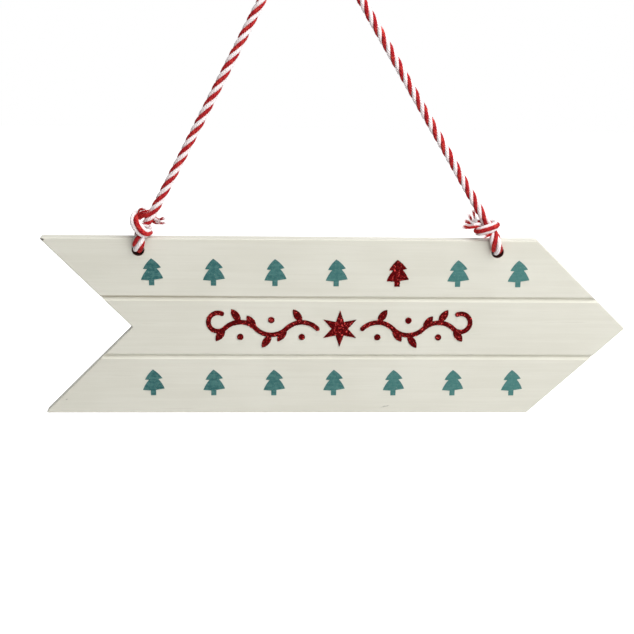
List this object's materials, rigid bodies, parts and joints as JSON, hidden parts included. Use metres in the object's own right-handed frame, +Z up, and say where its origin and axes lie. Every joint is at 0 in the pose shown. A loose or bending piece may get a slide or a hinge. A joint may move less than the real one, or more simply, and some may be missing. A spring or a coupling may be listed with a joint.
{
  "type": "hanging arrow sign",
  "caption": "Arrow-shaped hanging sign: a grooved, cream-painted wooden board with stencilled fir trees and a glitter ornament, hung by a twisted cord tied through holes in its top edge.",
  "frame": {"origin": "underside of the cord's top bend, where it bears on a hook", "axes": "+Z up, +X towards the arrow's point, front face towards -Y, board's middle plane at Y = 0"},
  "size_m": [0.3985, 0.0226, 0.3318],
  "materials": {
    "painted_wood": "brushed cream paint over fine grain, eggshell",
    "stencil_paint": "thin matt teal paint, slightly uneven",
    "red_glitter": "dark red glitter flakes in clear binder",
    "twisted_cord": "soft red and white strands, four-strand twist"
  },
  "bodies": {
    "root": {"board": "painted_wood", "tree_stencils": "stencil_paint", "glitter_tree": "red_glitter", "glitter_ornament": "red_glitter", "hanging_cord": "twisted_cord", "left_hole_loop": "twisted_cord", "right_hole_loop": "twisted_cord", "left_knot": "twisted_cord", "right_knot": "twisted_cord", "left_tail": "twisted_cord", "right_tail": "twisted_cord"}
  },
  "joints": []
}
